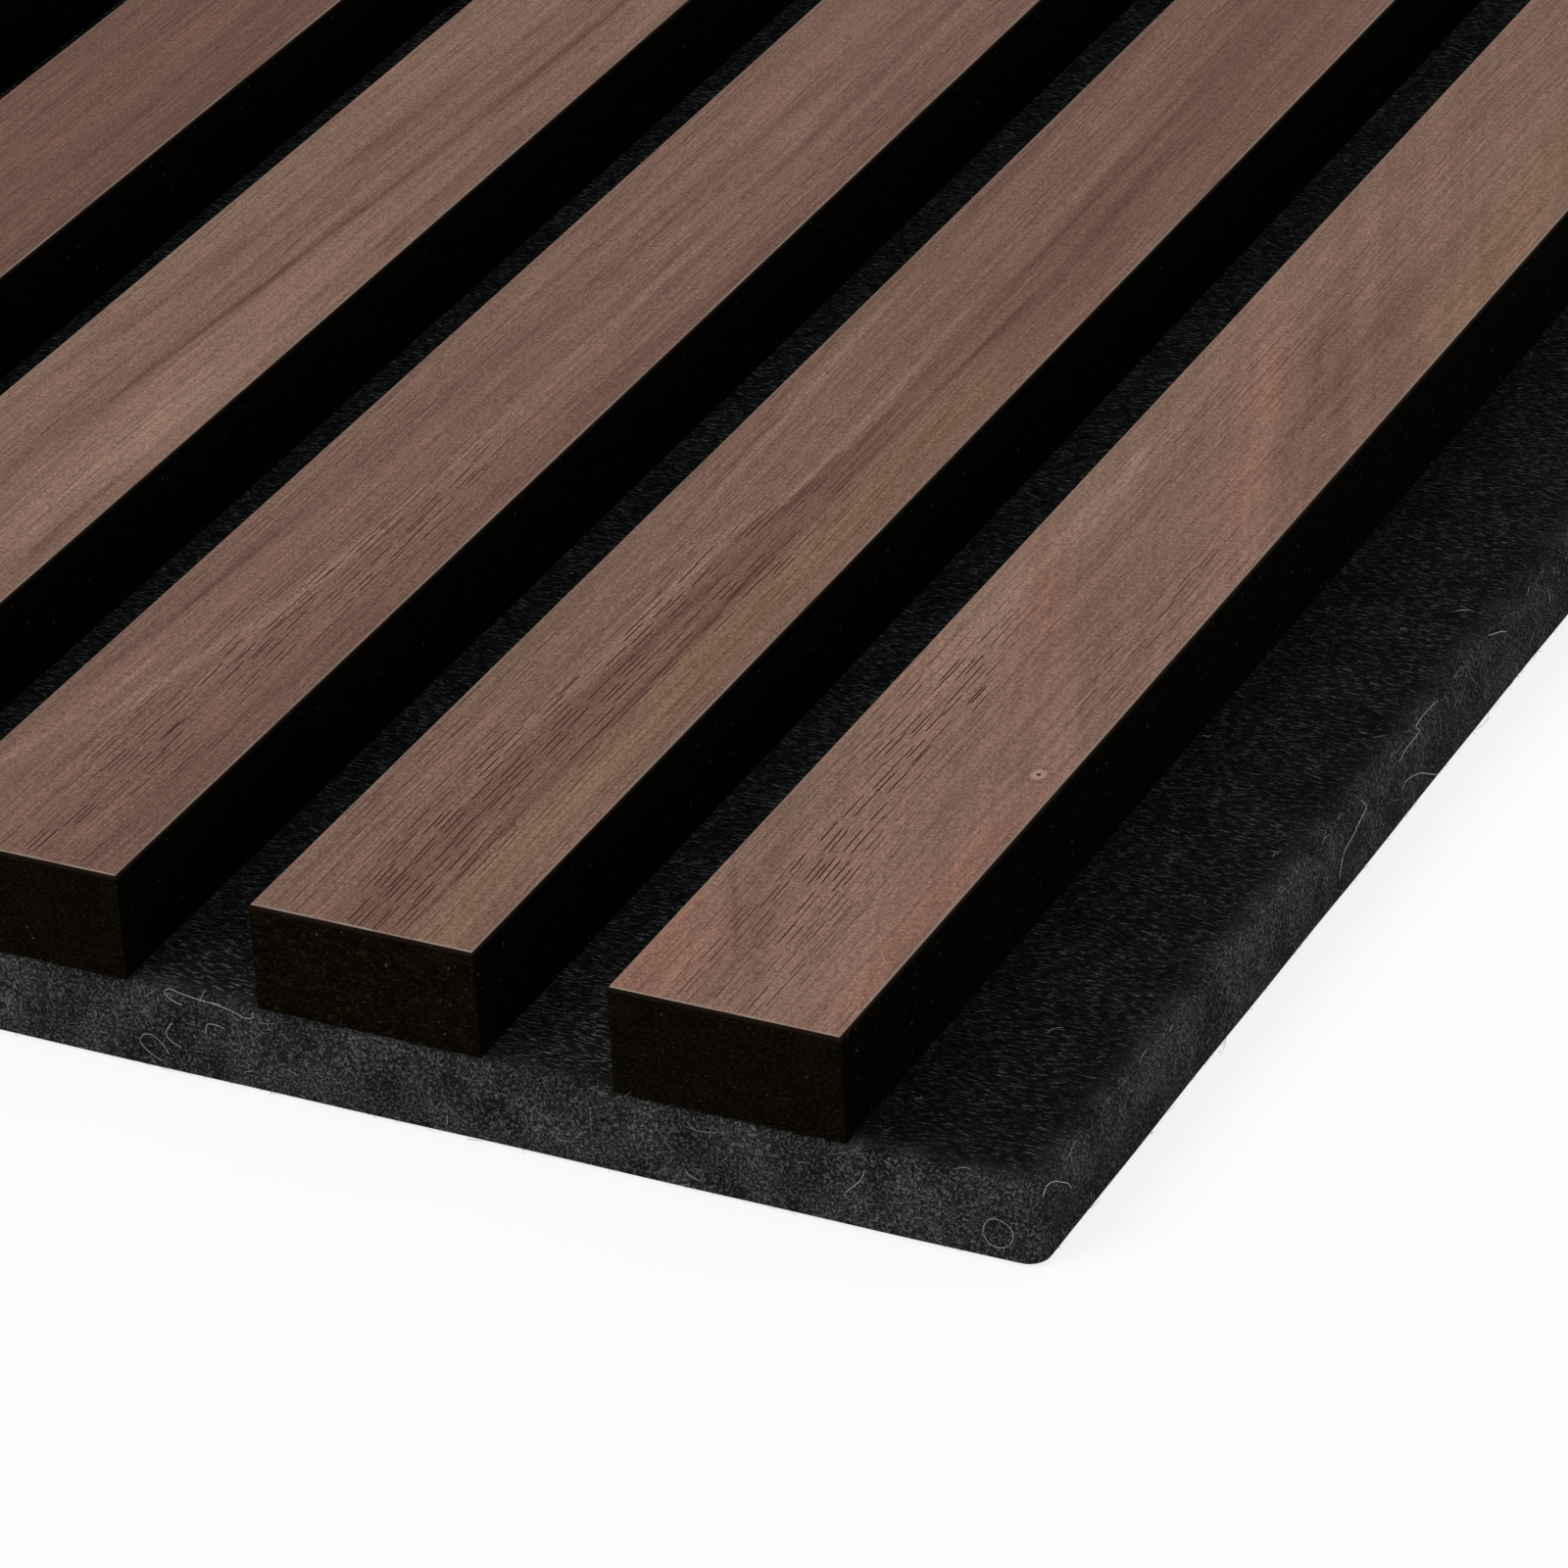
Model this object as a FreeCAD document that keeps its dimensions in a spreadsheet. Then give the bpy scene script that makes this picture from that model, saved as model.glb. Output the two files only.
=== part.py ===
import FreeCAD, Part
import math
import os
import Sketcher

# Acoustic slat wall panel, lying face up on its felt back.
# Black fibreboard slats, each faced with a walnut veneer, are glued to a sheet of
# polyester felt and held by staples that are driven in from the felt's back.
# X runs across the slats, Y along them and Z up from the felt's back.
# The origin is the middle of the felt's back face.

# Driving dimensions: name, value and meaning. Lengths are in millimetres.
drivingSizes = [
    ("slatCount", 15, "slats side by side"),
    ("slatWidth", 25, "one slat across"),
    ("slatGap", 15, "open channel between two slats"),
    ("slatHeight", 12, "slat above the felt, with its veneer"),
    ("veneerThickness", 0.5, "veneer on the slat's face"),
    ("veneerArris", 0.25, "bevel sanded round the veneer's face"),
    ("endScatter", 0.75, "most that a slat's end is set back from the felt's end"),
    ("panelLength", 2400, "felt sheet along the slats"),
    ("feltThickness", 9, "felt sheet"),
    ("feltMargin", 20, "bare felt beyond the last slat, the first one is flush"),
    ("feltCornerRadius", 2.5, "rounded corner of the felt sheet, seen from above"),
    ("stapleRows", 6, "staples along each slat"),
    ("stapleInset", 60, "middle of an end row of staples, from the felt's end"),
    ("stapleCrown", 10.6, "crown of a staple, over both legs"),
    ("stapleLength", 16, "staple from its crown to the points"),
    ("stapleTip", 0.8, "height of the chisel cut on a leg's end"),
    ("wireWidth", 1.2, "staple wire across the crown"),
    ("wireThickness", 0.6, "staple wire in the plane of the bend"),
    ("stapleSink", 0.3, "crown below the felt's back face"),
    ("wireClearance", 0.05, "space left round the wire in felt and slat"),
]

# Every slat is laid against a stop by hand, so its end is set back by its own
# share of endScatter: the sine of this angle times its place from the last slat.
scatterAngle = 112

# Derived lengths, as expressions on the sheet.
slatPitch = "(Sizes.slatWidth + Sizes.slatGap)"
slatField = f"(Sizes.slatCount * {slatPitch} - Sizes.slatGap)"
panelWidth = f"({slatField} + Sizes.feltMargin)"
firstSlatX = f"((Sizes.slatWidth - {panelWidth}) / 2)"
slatLength = "(Sizes.panelLength - Sizes.endScatter)"
coreHeight = "(Sizes.slatHeight - Sizes.veneerThickness)"
firstRowY = "(Sizes.stapleInset - Sizes.panelLength / 2)"
rowSpacing = "((Sizes.panelLength - 2 * Sizes.stapleInset) / (Sizes.stapleRows - 1))"
holeWidth = "(Sizes.wireWidth + 2 * Sizes.wireClearance)"
holeThickness = "(Sizes.wireThickness + 2 * Sizes.wireClearance)"
crownSlot = "(Sizes.stapleCrown + 2 * Sizes.wireClearance)"
crownDepth = "(Sizes.stapleSink + Sizes.wireThickness)"
legReach = "(Sizes.stapleSink + Sizes.stapleLength + Sizes.wireClearance - Sizes.feltThickness)"

doc = FreeCAD.newDocument("SlatPanel")
sheet = doc.addObject("Spreadsheet::Sheet", "Sizes")
for row, (alias, value, meaning) in enumerate(drivingSizes, start=1):
    sheet.set(f"A{row}", meaning)
    sheet.set(f"B{row}", str(value))
    sheet.setAlias(f"B{row}", alias)
doc.recompute()


def number(expression):
    # An expression's present value, for the first position of sketch lines.
    return float(sheet.evalExpression(expression))


def originFeature(body, role):
    # One of the body's own planes or axes, such as XY_Plane or X_Axis.
    return next(item for item in body.Origin.OriginFeatures if item.Role == role)


def addBody(label, x="0", y="0", z="0"):
    # An empty body whose placement follows the sheet.
    body = doc.addObject("PartDesign::Body", label)
    body.Label = label
    for axis, expression in (("x", x), ("y", y), ("z", z)):
        if expression != "0":
            body.setExpression(f"Placement.Base.{axis}", expression)
    return body


def addSketch(body, name, role):
    # An empty sketch on one of the body's origin planes.
    sketch = body.newObject("Sketcher::SketchObject", name)
    sketch.AttachmentSupport = (originFeature(body, role), [""])
    sketch.MapMode = "FlatFace"
    return sketch


def addOutline(sketch, points):
    # A closed outline of straight lines, joined end to end.
    # Level and upright lines are held so, and the first line's number is returned.
    first = sketch.GeometryCount
    corners = [FreeCAD.Vector(x, y, 0) for x, y in points]
    count = len(corners)
    for i in range(count):
        sketch.addGeometry(Part.LineSegment(corners[i], corners[(i + 1) % count]), False)
    for i in range(count):
        sketch.addConstraint(Sketcher.Constraint("Coincident", first + i, 2, first + (i + 1) % count, 1))
        run = corners[(i + 1) % count] - corners[i]
        if run.y == 0:
            sketch.addConstraint(Sketcher.Constraint("Horizontal", first + i))
        elif run.x == 0:
            sketch.addConstraint(Sketcher.Constraint("Vertical", first + i))
    return first


def bindDistance(sketch, name, kind, ends, expression):
    # A named distance between two points of the sketch, bound to the sheet.
    index = sketch.addConstraint(Sketcher.Constraint(kind, *ends, number(expression)))
    sketch.renameConstraint(index, name)
    sketch.setExpression(f"Constraints.{name}", expression)


def addRectangle(sketch, name, left, bottom, width, height):
    # A rectangle given by its lower left corner and its two sides.
    x0, y0 = number(left), number(bottom)
    x1, y1 = x0 + number(width), y0 + number(height)
    side = addOutline(sketch, [(x0, y0), (x1, y0), (x1, y1), (x0, y1)])
    bindDistance(sketch, f"{name}Left", "DistanceX", (-1, 1, side, 1), left)
    bindDistance(sketch, f"{name}Bottom", "DistanceY", (-1, 1, side, 1), bottom)
    bindDistance(sketch, f"{name}Width", "DistanceX", (side, 1, side, 2), width)
    bindDistance(sketch, f"{name}Height", "DistanceY", (side + 1, 1, side + 1, 2), height)


def addPad(body, name, sketch, length):
    pad = body.newObject("PartDesign::Pad", name)
    pad.Profile = sketch
    pad.setExpression("Length", length)
    return pad


def addPocketUp(body, name, sketch, depth=None):
    # A pocket cut from the body's underside upwards, right through if it has no depth.
    pocket = body.newObject("PartDesign::Pocket", name)
    pocket.Profile = sketch
    pocket.Reversed = True
    if depth is None:
        pocket.Type = "ThroughAll"
    else:
        pocket.setExpression("Length", depth)
    return pocket


def addRows(body, name, features):
    # Repeats the features along the slat, once for each row of staples.
    pattern = body.newObject("PartDesign::LinearPattern", name)
    pattern.Originals = features
    pattern.Direction = (originFeature(body, "Y_Axis"), [""])
    pattern.Mode = "Spacing"
    pattern.setExpression("Offset", rowSpacing)
    pattern.setExpression("Occurrences", "Sizes.stapleRows")
    body.Tip = pattern
    return pattern


def addRowsOnEverySlat(body, name, features):
    # Repeats the features along the slat and from slat to slat.
    pattern = addRows(body, name, features)
    pattern.Direction2 = (originFeature(body, "X_Axis"), [""])
    pattern.Mode2 = "Spacing"
    pattern.Spacings2 = [-1.0]  # no spacing of its own, so every one is Offset2
    pattern.setExpression("Offset2", slatPitch)
    pattern.setExpression("Occurrences2", "Sizes.slatCount")


def edgesWhere(feature, test):
    # Names of a feature's edges whose end points all pass the test.
    return [
        f"Edge{i}"
        for i, edge in enumerate(feature.Shape.Edges, start=1)
        if all(test(vertex) for vertex in edge.Vertexes)
    ]


def addLegHoles(sketch, centreX, centreY):
    # The two holes of a staple's legs, at the ends of its crown along the slat.
    left = f"({centreX} - {holeWidth} / 2)"
    near = f"({centreY} - {crownSlot} / 2)"
    far = f"({centreY} + {crownSlot} / 2 - {holeThickness})"
    addRectangle(sketch, "nearLeg", left, near, holeWidth, holeThickness)
    addRectangle(sketch, "farLeg", left, far, holeWidth, holeThickness)


def buildFelt():
    # Felt sheet with rounded corners. Each staple has a slot for its crown in the
    # sheet's back and two holes through the sheet for its legs.
    body = addBody("felt_backing")
    outline = addSketch(body, "FeltOutline", "XY_Plane")
    addRectangle(
        outline, "felt", f"(-{panelWidth} / 2)", "(-Sizes.panelLength / 2)", panelWidth, "Sizes.panelLength"
    )
    pad = addPad(body, "FeltSheet", outline, "Sizes.feltThickness")
    doc.recompute()

    corners = body.newObject("PartDesign::Fillet", "FeltCorners")
    upright = [
        f"Edge{i}"
        for i, edge in enumerate(pad.Shape.Edges, start=1)
        if abs(edge.tangentAt(edge.FirstParameter).z) > 0.5
    ]
    corners.Base = (pad, upright)
    corners.setExpression("Radius", "Sizes.feltCornerRadius")

    crown = addSketch(body, "CrownOutline", "XY_Plane")
    left = f"({firstSlatX} - {holeWidth} / 2)"
    addRectangle(crown, "crown", left, f"({firstRowY} - {crownSlot} / 2)", holeWidth, crownSlot)
    slot = addPocketUp(body, "CrownSlot", crown, crownDepth)

    legs = addSketch(body, "LegOutlines", "XY_Plane")
    addLegHoles(legs, firstSlatX, firstRowY)
    holes = addPocketUp(body, "LegHoles", legs)
    addRowsOnEverySlat(body, "StapleHoles", [slot, holes])
    return body


def slatFrame(place):
    # Where slat number place lies: its middle across, and the front of its end.
    setBack = abs(math.sin(math.radians(scatterAngle * (number("Sizes.slatCount") - place))))
    across = f"({firstSlatX} + {place - 1} * {slatPitch})"
    front = f"({setBack:.3f} * Sizes.endScatter - Sizes.panelLength / 2)"
    return across, front


def addSlatOutline(body, front):
    # The slat's rectangle seen from above, shared by its core and its veneer.
    sketch = addSketch(body, "SlatOutline", "XY_Plane")
    addRectangle(sketch, "slat", "(-Sizes.slatWidth / 2)", front, "Sizes.slatWidth", slatLength)
    return sketch


def buildCore(place):
    # Fibreboard bar standing on the felt, with blind holes for the staples' legs.
    across, front = slatFrame(place)
    body = addBody(f"slat_core_{place:02d}", x=across, z="Sizes.feltThickness")
    addPad(body, "Bar", addSlatOutline(body, front), coreHeight)

    legs = addSketch(body, "LegOutlines", "XY_Plane")
    addLegHoles(legs, "0", firstRowY)
    holes = addPocketUp(body, "LegHoles", legs, legReach)
    addRows(body, "LegRows", [holes])
    return body


def buildVeneer(place):
    # Thin walnut leaf glued on the core, with a bevel sanded round its face.
    across, front = slatFrame(place)
    body = addBody(f"slat_veneer_{place:02d}", x=across, z=f"(Sizes.feltThickness + {coreHeight})")
    leaf = addPad(body, "Leaf", addSlatOutline(body, front), "Sizes.veneerThickness")
    doc.recompute()

    face = leaf.Shape.BoundBox.ZMax
    arris = body.newObject("PartDesign::Chamfer", "Arris")
    arris.Base = (leaf, edgesWhere(leaf, lambda vertex: abs(vertex.Z - face) < 1e-6))
    arris.setExpression("Size", "Sizes.veneerArris")
    return body


def buildStaples():
    # One flat-wire staple with chisel points, repeated on every slat and row.
    body = addBody("back_staples", x=firstSlatX, y=firstRowY)
    body.AllowCompound = True
    sketch = addSketch(body, "StapleOutline", "YZ_Plane")
    half = number("Sizes.stapleCrown") / 2
    inner = half - number("Sizes.wireThickness")
    back = number("Sizes.stapleSink")
    bend = number(crownDepth)
    point = back + number("Sizes.stapleLength")
    shoulder = point - number("Sizes.stapleTip")
    line = addOutline(
        sketch,
        [
            (-half, back),
            (half, back),
            (half, point),
            (inner, shoulder),
            (inner, bend),
            (-inner, bend),
            (-inner, shoulder),
            (-half, point),
        ],
    )
    sketch.addConstraint(Sketcher.Constraint("Equal", line + 1, line + 7))
    bindDistance(sketch, "left", "DistanceX", (-1, 1, line, 1), "(-Sizes.stapleCrown / 2)")
    bindDistance(sketch, "sink", "DistanceY", (-1, 1, line, 1), "Sizes.stapleSink")
    bindDistance(sketch, "crown", "DistanceX", (line, 1, line, 2), "Sizes.stapleCrown")
    bindDistance(sketch, "length", "DistanceY", (line + 1, 1, line + 1, 2), "Sizes.stapleLength")
    bindDistance(sketch, "crownWire", "DistanceY", (line, 1, line + 5, 1), "Sizes.wireThickness")
    bindDistance(sketch, "rightWire", "DistanceX", (line + 3, 1, line + 2, 1), "Sizes.wireThickness")
    bindDistance(sketch, "rightTip", "DistanceY", (line + 3, 1, line + 2, 1), "Sizes.stapleTip")
    bindDistance(sketch, "leftWire", "DistanceX", (line + 7, 1, line + 6, 1), "Sizes.wireThickness")
    bindDistance(sketch, "leftTip", "DistanceY", (line + 6, 1, line + 7, 1), "Sizes.stapleTip")
    wire = addPad(body, "Wire", sketch, "Sizes.wireWidth")
    wire.SideType = "Symmetric"
    addRowsOnEverySlat(body, "Staples", [wire])
    return body


def findFaults(pieces):
    # What went wrong in the document, as plain sentences.
    faults = []
    for item in doc.Objects:
        if "Invalid" in item.State or "Error" in item.State:
            faults.append(f"{item.Label} failed: {item.State}")
        elif item.isDerivedFrom("Sketcher::SketchObject") and not item.FullyConstrained:
            faults.append(f"{item.Label} is not fully constrained")
        elif item.isDerivedFrom("PartDesign::Pocket") and item.Shape.Volume >= item.BaseFeature.Shape.Volume:
            faults.append(f"{item.Label} cuts nothing")
    for piece in pieces:
        if piece.Shape.isNull() or not piece.Shape.isValid():
            faults.append(f"{piece.Label} has no sound shape")
    staples = int(number("Sizes.slatCount * Sizes.stapleRows"))
    if len(pieces[-1].Shape.Solids) != staples:
        faults.append(f"{pieces[-1].Label} holds {len(pieces[-1].Shape.Solids)} staples, not {staples}")
    return faults


places = range(1, int(number("Sizes.slatCount")) + 1)
pieces = [buildFelt()]
pieces += [buildCore(place) for place in places]
pieces += [buildVeneer(place) for place in places]
pieces += [buildStaples()]
doc.recompute()

faults = findFaults(pieces)
if faults:
    raise RuntimeError("; ".join(faults))

os.makedirs("parts", exist_ok=True)
for piece in pieces:
    piece.Shape.exportStep(f"parts/{piece.Label}.step")
    print(f"{piece.Label}: {len(piece.Shape.Solids)} solid(s), {piece.Shape.Volume / 1000:.2f} cm3")
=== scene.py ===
import math

import bpy
import numpy as np
from mathutils import Matrix, Vector


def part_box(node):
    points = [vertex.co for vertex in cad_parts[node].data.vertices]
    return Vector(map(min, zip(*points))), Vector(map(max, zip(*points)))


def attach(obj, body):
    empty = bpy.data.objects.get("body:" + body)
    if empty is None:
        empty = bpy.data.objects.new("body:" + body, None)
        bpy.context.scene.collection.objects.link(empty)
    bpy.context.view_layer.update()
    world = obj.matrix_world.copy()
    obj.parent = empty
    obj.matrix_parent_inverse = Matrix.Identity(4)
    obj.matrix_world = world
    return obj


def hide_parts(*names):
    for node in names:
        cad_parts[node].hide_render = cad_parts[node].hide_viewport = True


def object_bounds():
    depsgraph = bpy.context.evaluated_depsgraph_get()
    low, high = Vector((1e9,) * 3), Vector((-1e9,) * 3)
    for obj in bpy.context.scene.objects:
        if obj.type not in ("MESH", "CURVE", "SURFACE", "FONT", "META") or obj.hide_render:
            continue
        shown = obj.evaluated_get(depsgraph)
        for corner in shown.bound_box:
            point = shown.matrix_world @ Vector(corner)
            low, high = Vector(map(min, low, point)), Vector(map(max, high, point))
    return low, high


# Acoustic slat wall panel: walnut faced black slats on a sheet of dark felt.
# X runs across the slats, Y along them and Z up from the felt's back. Metres.

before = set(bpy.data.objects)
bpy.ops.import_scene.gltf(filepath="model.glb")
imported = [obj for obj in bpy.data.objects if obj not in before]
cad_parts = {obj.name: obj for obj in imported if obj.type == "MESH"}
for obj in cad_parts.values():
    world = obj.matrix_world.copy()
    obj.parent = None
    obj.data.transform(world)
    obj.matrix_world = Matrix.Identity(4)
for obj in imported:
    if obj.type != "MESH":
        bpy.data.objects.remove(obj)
cadLow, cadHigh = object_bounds()
print("panel box", tuple(cadLow), tuple(cadHigh))

mm = 0.001
plainWhite = (1, 1, 1, 1)

# What the other pieces are fitted to, read from the frame.
slatNumbers = range(1, 1 + sum(name.startswith("slat_core_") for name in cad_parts))
coreBoxes = [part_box(f"slat_core_{number:02d}") for number in slatNumbers]
feltLow, feltHigh = (np.array(corner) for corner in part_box("felt_backing"))
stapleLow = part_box("back_staples")[0]
slatWidth = coreBoxes[0][1].x - coreBoxes[0][0].x
slatPitch = coreBoxes[1][0].x - coreBoxes[0][0].x
slatCentres = np.array([(low.x + high.x) / 2 for low, high in coreBoxes])
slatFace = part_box("slat_veneer_01")[1].z


# Camera and light

camera = {
    "azimuth": 27.80,  # degrees round from the panel's front, towards its right side
    "elevation": 30.12,
    "roll": -3.25,
    "fromCorner": (0.29375, -0.56566, 0.39788),  # from the last slat's near right corner
    "lens": 181.856,
    "sensor": 36.0,
}


def buildCamera(s):
    # The view direction from two angles, then the frame turned about it by the roll.
    azimuth, elevation, roll = (math.radians(s[k]) for k in ("azimuth", "elevation", "roll"))
    ahead = Vector((
        -math.sin(azimuth) * math.cos(elevation),
        math.cos(azimuth) * math.cos(elevation),
        -math.sin(elevation),
    ))
    level = ahead.cross(Vector((0, 0, 1))).normalized()
    right = level * math.cos(roll) + level.cross(ahead) * math.sin(roll)
    up = right.cross(ahead)
    corner = Vector((coreBoxes[-1][1].x, coreBoxes[-1][0].y, slatFace))
    data = bpy.data.cameras.new("panelCamera")
    data.lens = s["lens"]
    data.sensor_width = s["sensor"]
    data.clip_end = 50.0
    eye = bpy.data.objects.new("panelCamera", data)
    turn = Matrix((right, up, -ahead)).transposed()
    eye.matrix_world = Matrix.Translation(corner + Vector(s["fromCorner"])) @ turn.to_4x4()
    bpy.context.scene.collection.objects.link(eye)
    bpy.context.scene.camera = eye
    bpy.context.scene.view_settings.view_transform = "Standard"


light = {
    "roomLevel": 0.56,  # share of the full level that comes from all round
    "keyLevel": 0.35,  # share that the key light gives a level surface
    "keyFrom": (-0.55, -0.62, 0.80),
    "keyAngle": 34.0,  # how wide the soft key looks, in degrees
    "fillLevel": 0.09,
    "fillFrom": (0.85, -0.40, 0.42),
    "fillAngle": 60.0,
    "backdropWhite": 1.0,
    "floorSize": 14.0,
    "floorDrop": 0.4 * mm,  # below the felt's back, so that the two don't share a plane
    "floorWhite": 0.86,
    "floorGlow": 1.02,
    "floorLift": 0.80,  # how much of the floor's white stays in the shadow, for the camera
}


def addSun(name, level, source, angle):
    # A level surface gets this level from the light: its strength times the slope over pi.
    towards = Vector(source).normalized()
    data = bpy.data.lights.new(name, "SUN")
    data.energy = level * math.pi / towards.z
    data.angle = math.radians(angle)
    lamp = bpy.data.objects.new(name, data)
    lamp.rotation_euler = towards.to_track_quat("Z", "Y").to_euler()
    lamp.location = towards * 4  # out of the panel's way, a sun shines the same from anywhere
    bpy.context.scene.collection.objects.link(lamp)


def buildLight(s):
    # Two wide suns, and a world of one level that looks white where it is seen.
    addSun("softKey", s["keyLevel"], s["keyFrom"], s["keyAngle"])
    addSun("softFill", s["fillLevel"], s["fillFrom"], s["fillAngle"])
    world = bpy.data.worlds.new("studio")
    bpy.context.scene.world = world
    world.use_nodes = True
    tree = world.node_tree
    tree.nodes.clear()
    room = addNode(tree, "ShaderNodeBackground", {"Color": plainWhite, "Strength": s["roomLevel"]})
    seen = addNode(tree, "ShaderNodeBackground", {"Color": plainWhite, "Strength": s["backdropWhite"]})
    sockets = {0: backdropRays(tree), 1: room.outputs[0], 2: seen.outputs[0]}
    mix = addNode(tree, "ShaderNodeMixShader", sockets)
    addNode(tree, "ShaderNodeOutputWorld", {"Surface": mix.outputs[0]})


def backdropRays(tree):
    # 1 for what the camera sees, itself or in a mirror or glass, and 0 for other light.
    rays = addNode(tree, "ShaderNodeLightPath").outputs
    seen = calc(tree, "MAXIMUM", rays["Is Camera Ray"], rays["Is Glossy Ray"])
    return calc(tree, "MAXIMUM", seen, rays["Is Transmission Ray"])


def buildFloor(s):
    # One flat square, whose white is lit where light falls on it and glows where it is seen.
    half, level = s["floorSize"] / 2, -s["floorDrop"]
    corners = [(-half, -half, level), (half, -half, level), (half, half, level), (-half, half, level)]
    mesh = bpy.data.meshes.new("studioFloor")
    mesh.from_pydata(corners, [], [(0, 1, 2, 3)])
    floor = bpy.data.objects.new("studioFloor", mesh)
    bpy.context.scene.collection.objects.link(floor)
    material = bpy.data.materials.new("paleFloor")
    material.use_nodes = True
    tree = material.node_tree
    tree.nodes.clear()
    lit = addNode(tree, "ShaderNodeBsdfDiffuse", {"Color": (s["floorWhite"],) * 3 + (1,)})
    plain = addNode(tree, "ShaderNodeEmission", {"Color": plainWhite, "Strength": s["floorGlow"]})
    share = times(tree, backdropRays(tree), s["floorLift"])
    mix = addNode(tree, "ShaderNodeMixShader", {0: share, 1: lit.outputs[0], 2: plain.outputs[0]})
    addNode(tree, "ShaderNodeOutputMaterial", {"Surface": mix.outputs[0]})
    mesh.materials.append(material)


# Node helpers

def fill(tree, item, sockets):
    # Links a node's sockets where the value is a socket itself, and sets them otherwise.
    for key, value in sockets.items():
        if isinstance(value, bpy.types.NodeSocket):
            tree.links.new(value, item.inputs[key])
        elif value is not None:
            item.inputs[key].default_value = value


def addNode(tree, kind, sockets=None, **settings):
    # A node with its settings and what its sockets hold.
    item = tree.nodes.new(kind)
    for key, value in settings.items():
        setattr(item, key, value)
    fill(tree, item, sockets or {})
    return item


def calc(tree, operation, a, b=None, c=None, clamp=False):
    # One step of arithmetic on numbers or sockets. MULTIPLY_ADD is a times b plus c.
    return addNode(
        tree, "ShaderNodeMath", {0: a, 1: b, 2: c}, operation=operation, use_clamp=clamp
    ).outputs[0]


def times(tree, a, b):
    # The product.
    return calc(tree, "MULTIPLY", a, b)


def remap(tree, value, low, high, outLow=0.0, outHigh=1.0):
    # Smooth step from outLow to outHigh as the value goes from low to high.
    sockets = {"Value": value, "From Min": low, "From Max": high, "To Min": outLow, "To Max": outHigh}
    return addNode(tree, "ShaderNodeMapRange", sockets, interpolation_type="SMOOTHSTEP").outputs[0]


def combine(tree, x, y, z):
    # A vector from its three parts.
    return addNode(tree, "ShaderNodeCombineXYZ", {0: x, 1: y, 2: z}).outputs[0]


def parts(tree, vector):
    # A vector's x, y and z.
    return tuple(addNode(tree, "ShaderNodeSeparateXYZ", {0: vector}).outputs)


def noise(tree, vector, scale=1.0, detail=2.0, roughness=0.5, distortion=0.0):
    # Cloudy values round a half, whose grain is about one over the scale.
    sockets = {"Vector": vector, "Scale": scale, "Detail": detail, "Roughness": roughness}
    item = addNode(tree, "ShaderNodeTexNoise", {**sockets, "Distortion": distortion})
    return item.outputs["Fac"]


def tint(tree, factor, a, b):
    # Colour a turned towards b by the factor. Plain triples stand for colours.
    a, b = ((*c, 1.0) if isinstance(c, tuple) else c for c in (a, b))
    return addNode(tree, "ShaderNodeMix", {0: factor, 6: a, 7: b}, data_type="RGBA").outputs[2]


def scaled(tree, vector, amount):
    # A vector or a colour times one number, which may go over 1.
    sockets = {0: vector, "Scale": amount}
    return addNode(tree, "ShaderNodeVectorMath", sockets, operation="SCALE").outputs[0]


def bump(tree, height, distance, strength):
    # The surface's direction as if a height of 1 stood out by the distance.
    sockets = {"Height": height, "Distance": distance, "Strength": strength}
    return addNode(tree, "ShaderNodeBump", sockets).outputs[0]


def newMaterial(name):
    # A material with nothing but its shader, linked to the surface.
    material = bpy.data.materials.new(name)
    material.use_nodes = True
    tree = material.node_tree
    tree.nodes.clear()
    shader = addNode(tree, "ShaderNodeBsdfPrincipled")
    addNode(tree, "ShaderNodeOutputMaterial", {"Surface": shader.outputs[0]})
    return material, tree, shader


def placeInMillimetres(tree):
    # The panel's own coordinates in millimetres.
    return scaled(tree, addNode(tree, "ShaderNodeTexCoord").outputs["Object"], 1 / mm)


def surfaceNormal(tree):
    # The surface's direction in the panel's own frame, as x, y and z.
    return parts(tree, addNode(tree, "ShaderNodeTexCoord").outputs["Normal"])


# Walnut veneer

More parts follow.
